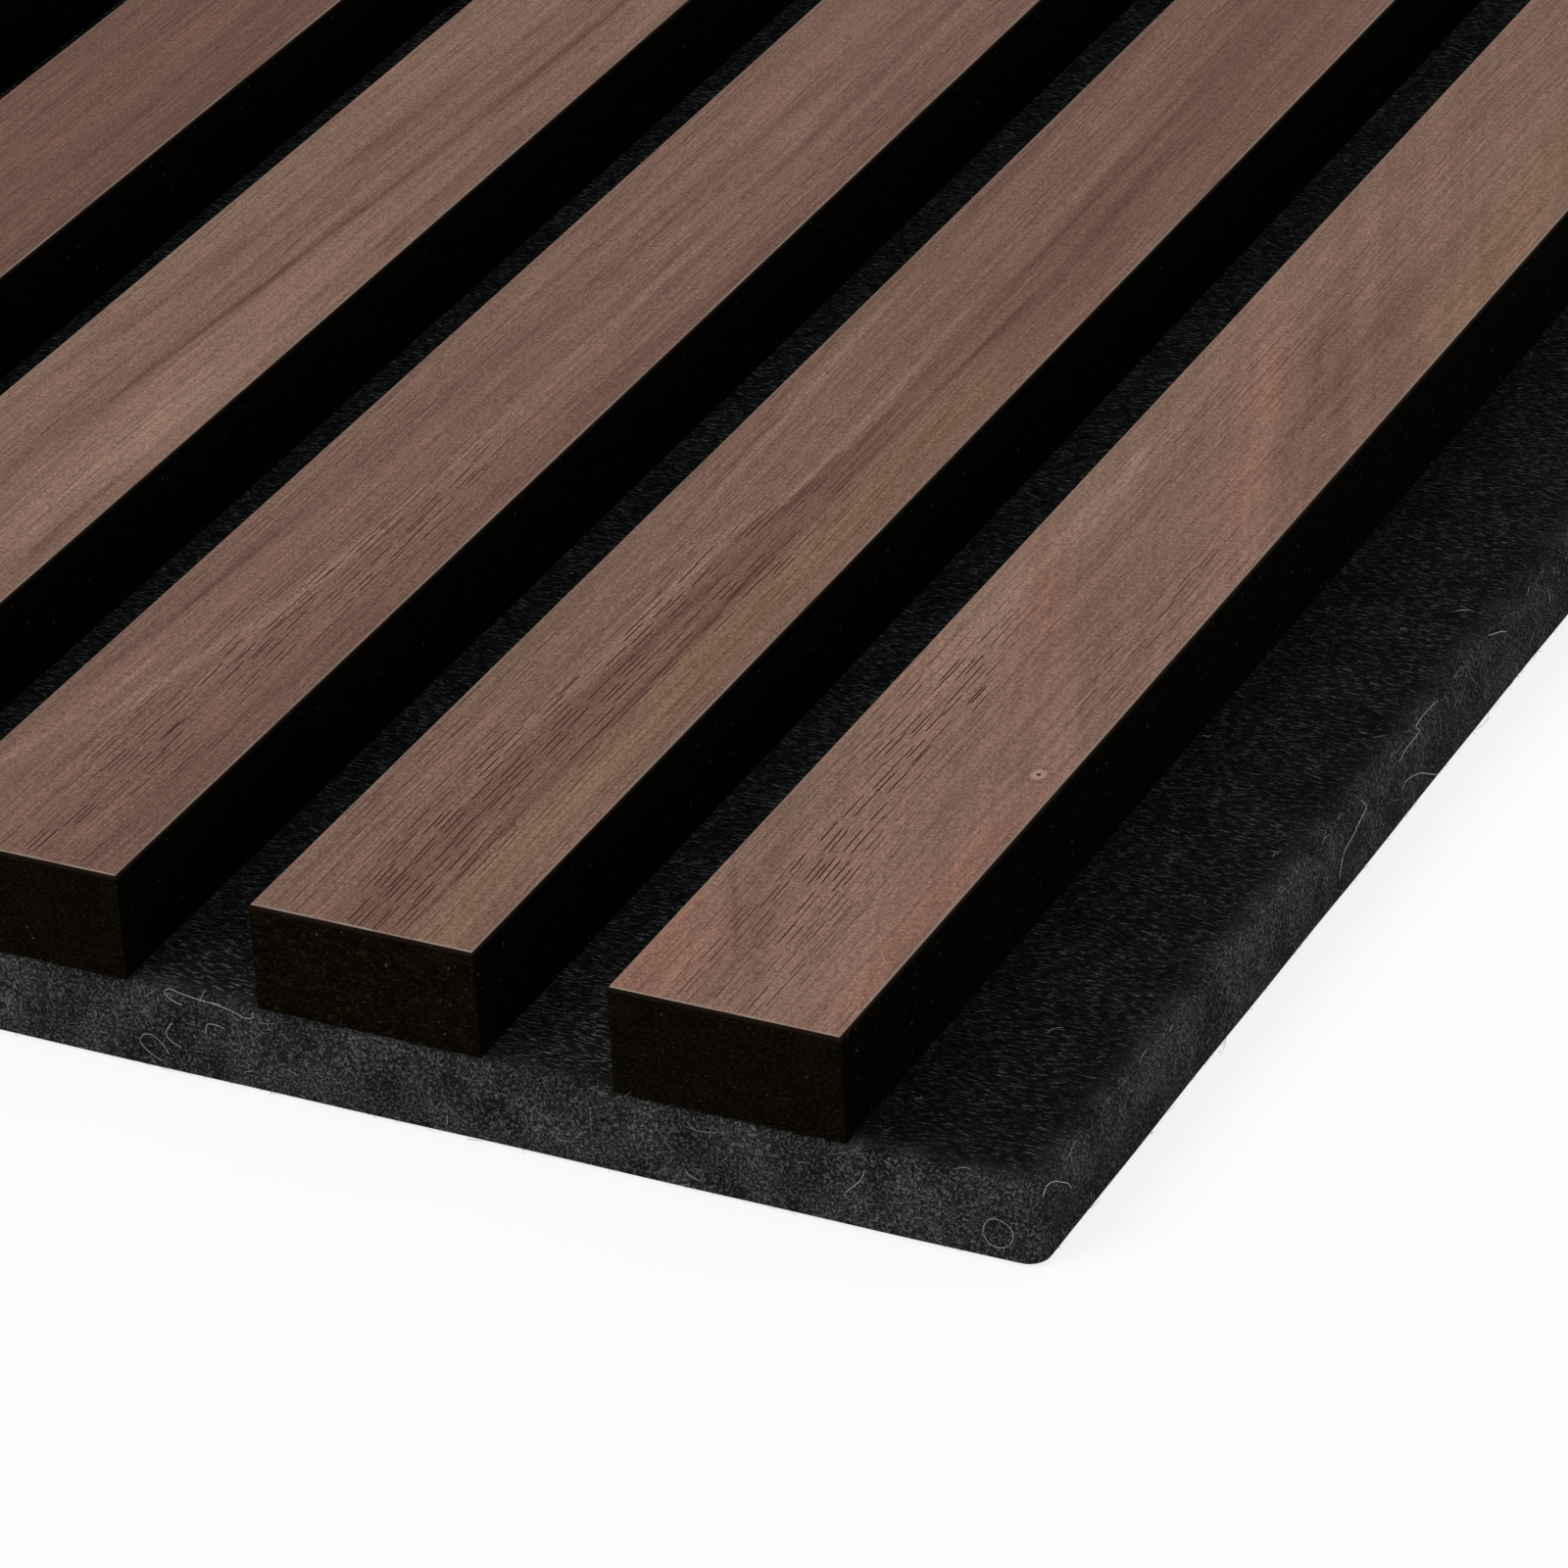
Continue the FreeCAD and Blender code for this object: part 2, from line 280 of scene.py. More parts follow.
walnut = {
    "pink": (0.244, 0.126, 0.094),
    "olive": (0.199, 0.122, 0.074),
    "brown": (0.134, 0.073, 0.055),
    "dark": (0.062, 0.031, 0.023),
    "pale": (0.276, 0.177, 0.131),
    "pore": (0.050, 0.024, 0.016),
    "paintedEdgeHighlight": (0.262, 0.200, 0.163),  # painted highlight: the pale line along the leaf's edges, where they catch the light
    "rimWidth": (0.16, 0.36),  # from and to, in millimetres from the edge
    "side": (0.007, 0.004, 0.002),  # the leaf's thin sides, stained with the core
    "wander": 3.0,  # how far the grain and the streaks wander sideways, in millimetres
    "streakWander": 1.6,
    "layerStep": 7.3,  # from one slat's layer of the noise to the next one's
    # Each pattern's scale across the grain and along it, and its own layer.
    "patterns": {
        "wander": (0.03, 0.016, 0), "bands": (0.16, 0.007, 100), "rings": (0.75, 0.010, 200),
        "lines": (2.0, 0.035, 300), "zones": (0.14, 0.015, 500), "broken": (0.30, 0.050, 600),
    },
    # What a pattern does to the colour's level: from and to in the noise, and the levels there.
    "levels": {
        "bands": (0.30, 0.70, 0.918, 1.05), "rings": (0.32, 0.66, 0.93, 1.06),
        "lines": (0.32, 0.68, 0.87, 1.12), "mottle": (0.34, 0.66, 0.66, 1.34),
    },
    "poreZones": (0.40, 0.64, 0.08, 0.50),  # the same for how strongly the pores show
    "poreSpacing": 0.70,  # across the grain and along it, in millimetres
    "poreStep": 6.0,
    "poreFlank": 0.22,  # how much paler the wood is beside a pore
    "knotAt": (279.4, -1148.0),  # pin knot near the last slat's end, in millimetres
    "knotRadius": 0.85,
    "knotLength": 0.75,  # one over how much longer it is along the slat
    "knotEye": (0.38, 0.255, 0.205),
    "plainGround": (0.190, 0.111, 0.083),  # of the leaves that aren't listed below
    "courseReach": 25.0,  # a streak may run this far from the slat's middle, in millimetres
    "fadeLength": 40.0,  # over which a streak comes and goes
    "specular": 0.02,
    "bumpHeight": 0.05 * mm,
    "seed": 7,
}

# The leaves that show best, by slat number. Each has its ground colour, the slope of its
# growth rings across it, and its streaks: kind, half width, strength and course. A course
# is points of distance from the panel's front end and from the slat's middle. Millimetres.
leaves = {
    15: {"ground": (0.210, 0.126, 0.094), "slope": 0.37, "streaks": [
        ("pink", 4.6, 0.95, [(-10, -9.0), (8, -9.5), (24, -14.5)]),
        ("dark", 0.5, 0.46, [(-4, -2.8), (9, -3.4), (17, -7.3), (28, -12.8)]),
        ("brown", 1.2, 0.40, [(-4, -1.8), (9, -2.2), (18, -5.8), (30, -11.5)]),
        ("pale", 2.0, 0.40, [(-8, 3.3), (4, 3.6), (14, 3.0)]),
        ("pale", 3.4, 0.62, [(54, -5.0), (78, -9.0), (98, -8.6), (118, -9.2), (146, -11.5)]),
        ("brown", 5.5, 0.42, [(84, 11.0), (125, 7.0), (200, 5.0)]),
        ("brown", 5.0, 0.42, [(92, 9.5), (125, 6.5), (160, 4.0), (190, 3.0)]),
        ("pink", 2.4, 0.85, [(-10, 11.5), (20, 10.4), (45, 11.0), (60, 12.5)]),
        ("pink", 2.3, 1.0, [(54, 8.5), (66, 2.2), (78, -2.3), (90, -6.5), (104, -12.0)]),
        ("brown", 1.5, 0.30, [(60, 11.5), (74, 4.0), (88, -1.5), (106, -8.5)]),
        ("pink", 2.5, 0.9, [(90, 12.5), (105, 8.0), (122, 2.5), (140, -3.0), (160, -10.5)]),
        ("dark", 0.8, 0.22, [(104, 12.0), (125, 6.0), (145, 0.5), (170, -8.0)]),
        ("pale", 1.3, 0.30, [(92, -9.5), (120, -9.0), (150, -11.0)]),
        ("olive", 4.5, 0.7, [(130, 14.0), (180, 9.0), (260, 4.0)]),
        ("brown", 5.0, 0.35, [(170, -9.0), (300, -5.0), (520, 2.0)]),
        ("pores", 6.5, 1.15, [(-30, 1.0), (20, -2.0), (50, -4.5), (80, -8.0), (100, -10.0)]),
        ("pores", 4.0, 0.75, [(48, 9.0), (80, 8.0), (120, 9.0)]),
    ]},
    14: {"ground": (0.180, 0.104, 0.078), "slope": 0.05, "streaks": [
        ("olive", 3.1, 0.95, [(-30, 8.0), (40, 7.3), (90, 7.6), (150, 9.5)]),
        ("brown", 3.6, 0.65, [(-30, 0.5), (40, 0.0), (80, 1.2), (125, 3.6)]),
        ("dark", 0.5, 0.50, [
            (-20, 4.1), (40, 4.4), (75, 4.2), (95, 4.0), (130, 4.7), (180, 4.2),
        ]),
        ("dark", 0.5, 0.40, [(-20, -0.5), (30, -1.0), (70, 0.6), (96, 2.6), (140, 3.2)]),
        ("dark", 1.0, 0.55, [(118, 5.6), (150, 5.2), (175, 4.6), (205, 4.4)]),
        ("pale", 0.7, 0.55, [
            (58, -13.0), (68, -9.6), (78, -6.4), (92, -1.4), (110, 0.2), (134, -0.6), (240, -2.6),
        ]),
        ("dark", 0.5, 0.42, [
            (58, -11.3), (68, -8.0), (78, -4.9), (92, 0.3), (110, 1.8), (134, 1.5), (240, 0.8),
        ]),
        ("pale", 0.6, 0.50, [(74, -13.0), (93, -8.2), (112, -8.9), (150, -9.8)]),
        ("pale", 4.0, 0.16, [(-20, -9.5), (40, -10.0), (80, -8.0), (230, -6.5)]),
        ("pale", 1.5, 0.42, [(4, -1.8), (30, -2.2), (60, -2.6), (112, -2.2), (130, -3.0)]),
        ("pale", 4.0, 0.26, [(-12, 9.6), (20, 8.8), (56, 9.6)]),
        ("dark", 1.3, 0.22, [(50, 8.0), (68, 7.8), (84, 7.6)]),
        ("brown", 10.0, 0.52, [(118, -5.0), (160, -2.0), (260, 0.0)]),
        ("dark", 0.8, 0.35, [(130, -11.2), (170, -11.0), (250, -11.6)]),
        ("pores", 7.5, 1.20, [(-30, 0.5), (40, 0.0), (80, 1.0), (125, 3.5)]),
        ("pores", 4.5, 0.70, [(-20, -8.5), (40, -9.5), (80, -9.0)]),
    ]},
    13: {"ground": (0.186, 0.107, 0.083), "slope": -0.06, "streaks": [
        ("brown", 5.5, 0.60, [(-30, 8.5), (30, 8.0), (60, 10.5), (110, 12.0)]),
        ("pale", 1.1, 0.62, [(10, -8.8), (26, -5.0), (42, -2.0), (54, 0.4), (66, 1.3), (88, 2.1)]),
        ("pale", 1.0, 0.38, [(66, 1.3), (100, 2.9), (140, 3.9), (210, 5.2), (300, 6.0)]),
        ("dark", 0.6, 0.30, [(84, 0.2), (110, 1.7), (150, 2.6), (190, 3.5), (260, 4.2)]),
        ("dark", 0.5, 0.45, [(30, -11.2), (42, -9.6), (58, -8.4), (80, -7.6)]),
        ("pale", 0.5, 0.50, [(10, -12.0), (22, -8.6), (36, -6.6), (50, -5.4)]),
        ("brown", 1.6, 0.45, [(96, -4.0), (125, -3.4), (160, -2.2), (220, -1.0)]),
        ("pale", 3.0, 0.18, [(110, -8.0), (170, -7.0), (260, -5.0)]),
        ("pale", 1.8, 0.40, [(118, -0.8), (150, 0.4), (200, 1.8)]),
        ("brown", 3.0, 0.60, [(64, 9.2), (84, 9.6), (120, 11.2), (220, 12.0)]),
        ("dark", 0.9, 0.26, [(122, -8.0), (150, -7.4), (190, -6.4)]),
        ("dark", 0.8, 0.28, [(118, 5.0), (150, 4.8), (186, 4.4)]),
        ("pores", 7.0, 1.0, [(-30, 4.0), (40, 3.0), (80, 5.0), (120, 6.0)]),
    ]},
    12: {"ground": (0.199, 0.119, 0.089), "slope": -0.05, "streaks": [
        ("pale", 3.4, 0.55, [(40, 6.0), (85, 7.5), (130, 9.0), (170, 10.5)]),
        ("dark", 0.5, 0.62, [
            (66, -1.4), (78, -0.6), (100, 0.4), (125, 1.9), (147, 3.4), (190, 4.8), (250, 5.8),
        ]),
        ("dark", 0.9, 0.38, [(92, -9.0), (104, -8.0), (125, -6.0), (155, -4.2), (200, -2.6)]),
        ("dark", 0.8, 0.45, [(48, 10.6), (62, 10.0), (80, 10.4)]),
        ("brown", 4.0, 0.18, [(120, -1.0), (170, 1.0), (260, 3.0)]),
        ("brown", 3.4, 0.58, [(92, 9.0), (140, 9.8), (205, 11.0)]),
    ]},
    11: {"ground": (0.144, 0.080, 0.061), "slope": 0.03, "streaks": [
        ("pink", 3.0, 0.25, [(60, -4.0), (150, -1.0), (300, 4.0)]),
        ("brown", 2.0, 0.30, [(80, 7.0), (170, 8.0), (320, 6.0)]),
    ]},
}


# The streaks of any other leaf: kind, half width and strength.
plainStreaks = (
    ("pink", 2.6, 0.7), ("olive", 3.2, 0.7), ("brown", 3.4, 0.5), ("brown", 2.2, 0.4),
    ("pale", 1.0, 0.5), ("dark", 0.5, 0.5), ("dark", 0.6, 0.4), ("dark", 0.9, 0.4),
    ("pale", 0.7, 0.4), ("pink", 4.0, 0.5), ("pores", 5.0, 0.8), ("pores", 4.0, 0.7),
)


def plainLeaf(s, rng):
    # Each streak starts anywhere and drifts to one side by a power of its share of the run.
    ground = np.array(s["plainGround"]) * rng.uniform(0.84, 1.08) * (1 + rng.normal(0, 0.015, 3))
    share = np.linspace(0, 1, 4)
    streaks = []
    for kind, half, strength in plainStreaks:
        start = rng.uniform(-200, 1700)
        run = rng.uniform(350, 1300)
        middle = rng.uniform(-11, 11) + rng.uniform(-6, 6) * share**1.5 + rng.normal(0, 0.8, 4)
        course = list(zip((start + run * share).tolist(), middle.tolist()))
        streaks.append((kind, half * rng.uniform(0.8, 1.3), strength * rng.uniform(0.6, 1.1), course))
    return {"ground": tuple(ground), "slope": rng.uniform(-0.05, 0.05), "streaks": streaks}


def streakMask(s, tree, across, along, half, course):
    # A bell over the distance from the streak's course, faded in and out at its two ends.
    # A curve node holds the course, with the slat's middle at a half.
    first, last = course[0][0], course[-1][0]
    sockets = {"Value": along, "From Min": first, "From Max": last}
    share = addNode(tree, "ShaderNodeMapRange", sockets).outputs[0]
    curve = addNode(tree, "ShaderNodeFloatCurve", {"Value": share})
    points = curve.mapping.curves[0].points
    reach = s["courseReach"]
    places = [((v - first) / (last - first), (d + reach) / (2 * reach)) for v, d in course]
    for place in places[1:-1]:
        points.new(*place)
    points[0].location = places[0]
    points[len(points) - 1].location = places[-1]
    curve.mapping.update()
    middle = calc(tree, "MULTIPLY_ADD", curve.outputs[0], 2 * reach, -reach)
    off = calc(tree, "DIVIDE", calc(tree, "SUBTRACT", across, middle), half)
    bell = calc(tree, "EXPONENT", times(tree, times(tree, off, off), -1.0))
    fade = min(s["fadeLength"], (last - first) / 3)
    comes = remap(tree, along, first, first + fade)
    goes = remap(tree, along, last, last - fade)
    return times(tree, bell, times(tree, comes, goes))


def makeWalnut(s, number, leaf):
    # The leaf's ground, turned towards each streak's colour, times the levels of all the
    # patterns, with the pores, the knot and the painted edge highlight over it.
    material, tree, shader = newMaterial(f"walnutVeneer{number:02d}")
    place = placeInMillimetres(tree)
    x, y, _ = parts(tree, place)
    low, high = (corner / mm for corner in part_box(f"slat_veneer_{number:02d}"))
    middle = (low.x + high.x) / 2
    across = calc(tree, "SUBTRACT", x, middle)
    along = calc(tree, "SUBTRACT", y, cadLow.y / mm)
    layer = s["layerStep"] * number

    def drawn(name, over, detail=2.0, roughness=0.5):
        # Noise drawn out along the slat, from the pattern's own layer.
        acrossScale, alongScale, depth = s["patterns"][name]
        u = times(tree, over, acrossScale)
        v = times(tree, along, alongScale)
        return noise(tree, combine(tree, u, v, layer + depth), detail=detail, roughness=roughness)

    wander = drawn("wander", across, detail=1.0)
    grain = calc(tree, "MULTIPLY_ADD", wander, s["wander"], across)
    ringed = calc(tree, "MULTIPLY_ADD", along, leaf["slope"], grain)
    mottle = noise(tree, place, scale=3.6, detail=2.5, roughness=0.75)
    patterns = {
        "bands": drawn("bands", ringed),
        "rings": drawn("rings", ringed, detail=3.0, roughness=0.6),
        "lines": drawn("lines", grain, roughness=0.6),
        "mottle": mottle,
    }
    pores, flanks = poreDashes(s, tree, grain, along, layer)
    poreZone = remap(tree, drawn("zones", grain), *s["poreZones"])
    broken = drawn("broken", across)

    colour = addNode(tree, "ShaderNodeRGB")
    colour.outputs[0].default_value = (*leaf["ground"], 1.0)
    colour = colour.outputs[0]
    unevenly = remap(tree, broken, 0.30, 0.62, 0.45, 1.15)
    centred = calc(tree, "SUBTRACT", across, s["streakWander"] / 2)
    moved = calc(tree, "MULTIPLY_ADD", wander, s["streakWander"], centred)
    for kind, half, strength, course in leaf["streaks"]:
        mask = times(tree, streakMask(s, tree, moved, along, half, course), strength)
        mask = calc(tree, "MULTIPLY", mask, unevenly, clamp=True)
        if kind == "pores":
            poreZone = calc(tree, "MAXIMUM", poreZone, mask)
        else:
            colour = tint(tree, mask, colour, s[kind])
    beside = times(tree, flanks, poreZone)
    level = calc(tree, "MULTIPLY_ADD", beside, s["poreFlank"], 1.0)
    for name, pattern in patterns.items():
        level = times(tree, level, remap(tree, pattern, *s["levels"][name]))
    colour = scaled(tree, colour, level)
    colour = tint(tree, times(tree, pores, poreZone), colour, s["pore"])

    if abs(s["knotAt"][0] - middle) < slatWidth / mm / 2:
        colour = addKnot(s, tree, x, y, mottle, colour)

    # Along the leaf's edges runs a thin pale line, a painted highlight where the edges
    # catch the light, and its sides took the core's stain.
    fromSide = calc(tree, "SUBTRACT", slatWidth / mm / 2, calc(tree, "ABSOLUTE", across))
    fromFront = calc(tree, "SUBTRACT", y, low.y)
    fromRear = calc(tree, "SUBTRACT", high.y, y)
    fromEdge = calc(tree, "MINIMUM", fromSide, calc(tree, "MINIMUM", fromFront, fromRear))
    inner, outer = s["rimWidth"]
    paintedEdgeHighlight = remap(tree, fromEdge, outer, outer - 0.06)
    paintedEdgeHighlight = times(tree, paintedEdgeHighlight, remap(tree, broken, 0.32, 0.60, 0.35, 1.0))
    colour = tint(tree, paintedEdgeHighlight, colour, s["paintedEdgeHighlight"])
    colour = tint(tree, remap(tree, fromEdge, inner + 0.03, inner - 0.03), colour, s["side"])

    height = calc(tree, "SUBTRACT", times(tree, mottle, 0.5), pores)
    fill(tree, shader, {
        "Base Color": colour, "Specular IOR Level": s["specular"],
        "Roughness": remap(tree, mottle, 0.3, 0.7, 0.54, 0.68),
        "Normal": bump(tree, height, s["bumpHeight"], 0.7),
    })
    return material


def poreDashes(s, tree, grain, along, layer):
    # Open pores: every cell of a pattern drawn out along the grain holds one thin dark dash
    # round its own point, and each slat starts elsewhere in the pattern.
    # The second value is the pale flank on both sides of it.
    u = calc(tree, "MULTIPLY_ADD", grain, 1 / s["poreSpacing"], 61.0 + 13.7 * layer)
    v = calc(tree, "MULTIPLY_ADD", along, 1 / s["poreStep"], 17.0)
    vector = combine(tree, u, v, 0.0)
    sockets = {"Vector": vector, "Scale": 1.0, "Randomness": 0.85}
    cells = addNode(tree, "ShaderNodeTexVoronoi", sockets, voronoi_dimensions="2D")
    sockets = {0: vector, 1: cells.outputs["Position"]}
    away = addNode(tree, "ShaderNodeVectorMath", sockets, operation="SUBTRACT")
    offAcross, offAlong, _ = parts(tree, away.outputs[0])
    aside = calc(tree, "ABSOLUTE", offAcross)
    length = remap(tree, calc(tree, "ABSOLUTE", offAlong), 0.50, 0.30)
    length = times(tree, length, remap(tree, cells.outputs["Color"], 0.25, 0.55, 0.30, 1.0))
    pores = times(tree, remap(tree, aside, 0.22, 0.10), length)
    flanks = times(tree, remap(tree, aside, 0.52, 0.30), length)
    return pores, flanks


def addKnot(s, tree, x, y, mottle, colour):
    # Pin knot: a pale eye with a dark ring round it, and a dark pinhole in its middle.
    dx = calc(tree, "SUBTRACT", x, s["knotAt"][0])
    dy = times(tree, calc(tree, "SUBTRACT", y, s["knotAt"][1]), s["knotLength"])
    squares = calc(tree, "ADD", times(tree, dx, dx), times(tree, dy, dy))
    reach = calc(tree, "DIVIDE", calc(tree, "SQRT", squares), s["knotRadius"])
    rough = calc(tree, "MULTIPLY_ADD", mottle, 1.2, calc(tree, "SUBTRACT", reach, 0.6))
    ring = times(tree, remap(tree, rough, 0.8, 1.1), remap(tree, rough, 1.9, 1.3))
    colour = tint(tree, times(tree, ring, 0.30), colour, s["dark"])
    colour = tint(tree, remap(tree, rough, 1.15, 0.60, 0.0, 0.80), colour, s["knotEye"])
    return tint(tree, remap(tree, reach, 0.34, 0.20), colour, s["pore"])


# Black fibreboard

fibreboard = {
    "ground": (0.0008, 0.0006, 0.0003),
    "sawn": (0.0024, 0.0017, 0.0006),  # the sawn ends, warmer than the long sides
    "fleck": (0.030, 0.020, 0.0090),
    "spark": (0.060, 0.050, 0.032),  # the rare brighter ones
    "fleckShare": (0.09, 0.48),  # on the long sides and on the sawn ends
    "flatness": 1.9,  # how much thinner than wide a fleck is, as the fibres are pressed flat
    "specular": 0.01,
    "bumpHeight": 0.12 * mm,
}


def makeFibreboard(s):
    # Near black in two tones, the ends' and the sides', with flecks where fine noise is high.
    material, tree, shader = newMaterial("blackFibreboard")
    place = placeInMillimetres(tree)
    _, lengthwise, _ = surfaceNormal(tree)
    ends = remap(tree, calc(tree, "ABSOLUTE", lengthwise), 0.4, 0.8)
    sockets = {"Vector": place, "Scale": (1.0, 1.0, s["flatness"])}
    layered = addNode(tree, "ShaderNodeMapping", sockets).outputs[0]
    fine = noise(tree, layered, scale=2.0, detail=3.0, roughness=0.7)
    coarse = noise(tree, layered, scale=0.35)
    rare = noise(tree, place, scale=1.7, detail=1.0)
    share = remap(tree, ends, 0.0, 1.0, *s["fleckShare"])
    flecks = times(tree, remap(tree, fine, 0.52, 0.70), share)
    colour = tint(tree, ends, s["ground"], s["sawn"])
    colour = scaled(tree, colour, remap(tree, coarse, 0.3, 0.7, 0.70, 1.35))
    colour = tint(tree, flecks, colour, s["fleck"])
    colour = tint(tree, remap(tree, rare, 0.73, 0.80, 0.0, 0.8), colour, s["spark"])
    fill(tree, shader, {
        "Base Color": colour, "Specular IOR Level": s["specular"], "Roughness": 0.9,
        "Normal": bump(tree, fine, s["bumpHeight"], 0.8),
    })
    return material


# Felt

felt = {
    "face": (0.0030, 0.0030, 0.0031),  # needled faces
    "faceFibre": (0.074, 0.075, 0.077),
    "cut": (0.0072, 0.0072, 0.0074),  # cut edges show more fibre ends
    "cutFibre": (0.108, 0.108, 0.110),
    "layAngle": 24.0,  # how the needled lines lie, in degrees from X
    "layScale": (0.75, 3.6, 1.0),  # of the lines' noise along them, across them and in depth
    "fray": 2.2,  # how far in the face frays at the edge, in millimetres
    "channelPaintedLight": 1.9,  # painted light: how much paler the face is made between the slats, standing in for light that reaches the channels
    "cornerRadius": 2.2 * mm,
    "topEdge": (1.4 * mm, 1.1 * mm),  # roundness of the face's edges, inwards and down
    "backEdge": (0.25 * mm, 0.25 * mm),
    "flare": 0.42 * mm,  # how far the cut leans out at the back
    "waviness": 0.16 * mm,  # of the cut edges, in and out
    "wavinessReach": 9.0 * mm,
    "channelSwell": 0.12 * mm,  # felt that rises between the slats
    "stapleWire": 0.6 * mm,
    "stapleHalfCrown": 5.3 * mm,
    "dimpleReach": (3.2 * mm, 3.4 * mm),  # beyond the crown, across and along
    "specular": 0.02,
    "bumpHeight": 0.30 * mm,
    # Grid lines: from each slat's middle, from each row of staples, and as shares of the
    # thickness. Along the sheet they stand closer over the part near the front end.
    "linesAcross": np.array([-14, -9, -4.2, -3, -1.8, -0.7, 0.7, 1.8, 3, 4.2, 9, 14, 20]) * mm,
    "linesAlong": np.array([-26, -16, -9, -7.6, -6.4, -5.3, 5.3, 6.4, 7.6, 9, 16, 26]) * mm,
    "linesUp": np.array([0, 0.012, 0.03, 0.1, 0.3, 0.5, 0.7, 0.87, 0.92, 0.96, 0.985, 1]),
    "closeStep": 8 * mm,
    "wideStep": 30 * mm,
    "closePart": 400 * mm,
}


def makeFelt(s):
    # Two looks, the needled faces' and the cut edges', mixed by how the surface faces.
    material, tree, shader = newMaterial("darkFelt")
    place = placeInMillimetres(tree)
    x, y, _ = parts(tree, place)
    _, _, up = surfaceNormal(tree)
    facing = remap(tree, calc(tree, "ABSOLUTE", up), 0.55, 0.97)
    turn = (0, 0, -math.radians(s["layAngle"]))
    sockets = {"Vector": place, "Rotation": turn, "Scale": s["layScale"]}
    turned = addNode(tree, "ShaderNodeMapping", sockets).outputs[0]
    drawn = noise(tree, turned, detail=2.5, roughness=0.65)
    tufts = noise(tree, place, scale=3.2, detail=2.5, roughness=0.75)
    clouds = noise(tree, place, scale=0.16)
    curly = noise(tree, place, scale=1.1, detail=1.5, roughness=0.6, distortion=1.8)

    # Near the sheet's edge the needled face frays over into the look of the cut edge.
    fromSide = calc(tree, "SUBTRACT", feltHigh[0] / mm, calc(tree, "ABSOLUTE", x))
    fromEnd = calc(tree, "SUBTRACT", feltHigh[1] / mm, calc(tree, "ABSOLUTE", y))
    fromEdge = calc(tree, "MINIMUM", fromSide, fromEnd)
    frayed = calc(tree, "MULTIPLY_ADD", tufts, s["fray"] * 2.2, fromEdge)
    facing = times(tree, facing, remap(tree, frayed, s["fray"] * 0.6, s["fray"] * 2.8))

    # On the needled faces the pale fibres are short dashes along the lay.
    between = remap(tree, tufts, 0.38, 0.62, 0.15, 1.0)
    dashes = times(tree, remap(tree, drawn, 0.50, 0.70), between)
    faceColour = tint(tree, dashes, s["face"], s["faceFibre"])
    # Painted light: between the slats the face is made paler, in place of light that reaches into the
    # channels.
    lastSlat = slatCentres[-1] / mm
    slatted = remap(tree, x, lastSlat + 1, lastSlat - 1)
    channelLightMask = times(tree, slatted, remap(tree, up, 0.0, 0.5))
    lift = calc(tree, "MULTIPLY_ADD", channelLightMask, s["channelPaintedLight"] - 1, 1.0)
    faceColour = scaled(tree, faceColour, lift)
    # On the cut edges they are a tangle of tufts and loops.
    thread = calc(tree, "ABSOLUTE", calc(tree, "SUBTRACT", curly, 0.5))
    gathered = remap(tree, clouds, 0.40, 0.60, 0.15, 0.8)
    loops = times(tree, remap(tree, thread, 0.030, 0.008), gathered)
    specks = remap(tree, tufts, 0.46, 0.74)
    tangle = calc(tree, "MAXIMUM", times(tree, loops, 0.5), specks)
    cutColour = tint(tree, tangle, s["cut"], s["cutFibre"])
    colour = tint(tree, facing, cutColour, faceColour)
    colour = scaled(tree, colour, remap(tree, clouds, 0.3, 0.7, 0.75, 1.3))

    height = calc(tree, "MULTIPLY_ADD", times(tree, drawn, facing), 0.9, tufts)
    fill(tree, shader, {
        "Base Color": colour, "Specular IOR Level": s["specular"], "Roughness": 0.95,
        "Normal": bump(tree, height, s["bumpHeight"], 0.8),
    })
    return material


def softStep(value, low, high):
    # Smooth step from 0 at low to 1 at high.
    t = np.clip((value - low) / (high - low), 0, 1)
    return t * t * (3 - 2 * t)


def edgeLines(low, high, inner, radius):
    # Grid lines over a side: close together round both edges, then the inner ones.
    near = radius * np.array([0.0, 0.05, 0.13, 0.25, 0.4, 0.6, 0.85, 1.2])
    middle = inner[(inner > low + 1.6 * radius) & (inner < high - 1.6 * radius)]
    return np.concatenate([low + near, np.unique(middle.round(6)), (high - near)[::-1]])


def boxShell(xs, ys, zs):
    # Vertices and outward quads of a box's surface, from three sets of grid lines.
    count = (len(xs), len(ys), len(zs))
    onShell = np.ones(count, bool)
    onShell[1:-1, 1:-1, 1:-1] = False
    index = np.full(count, -1)
    index[onShell] = np.arange(onShell.sum())
    grid = np.stack(np.meshgrid(xs, ys, zs, indexing="ij"), -1)

    def quads(sheet, flip):
        # Each cell's four corners, the other way round where the side would face inwards.
        corners = [sheet[:-1, :-1], sheet[1:, :-1], sheet[1:, 1:], sheet[:-1, 1:]]
        ring = np.stack([c.ravel() for c in corners], -1)
        return ring[:, ::-1] if flip else ring

    faces = np.concatenate([
        quads(index[:, :, 0], True), quads(index[:, :, -1], False),
        quads(index[:, 0, :], False), quads(index[:, -1, :], True),
        quads(index[0, :, :], True), quads(index[-1, :, :], False),
    ])
    return grid[onShell], faces


def waves(t, phase):
    # Gentle in and out of a cut edge: three sines of unlike length, about -1 to 1.
    return (
        0.45 * np.sin(t / 0.0113 + phase)
        + 0.33 * np.sin(t / 0.0047 + 2.3 * phase)
        + 0.22 * np.sin(t / 0.0291 - phase)
    )


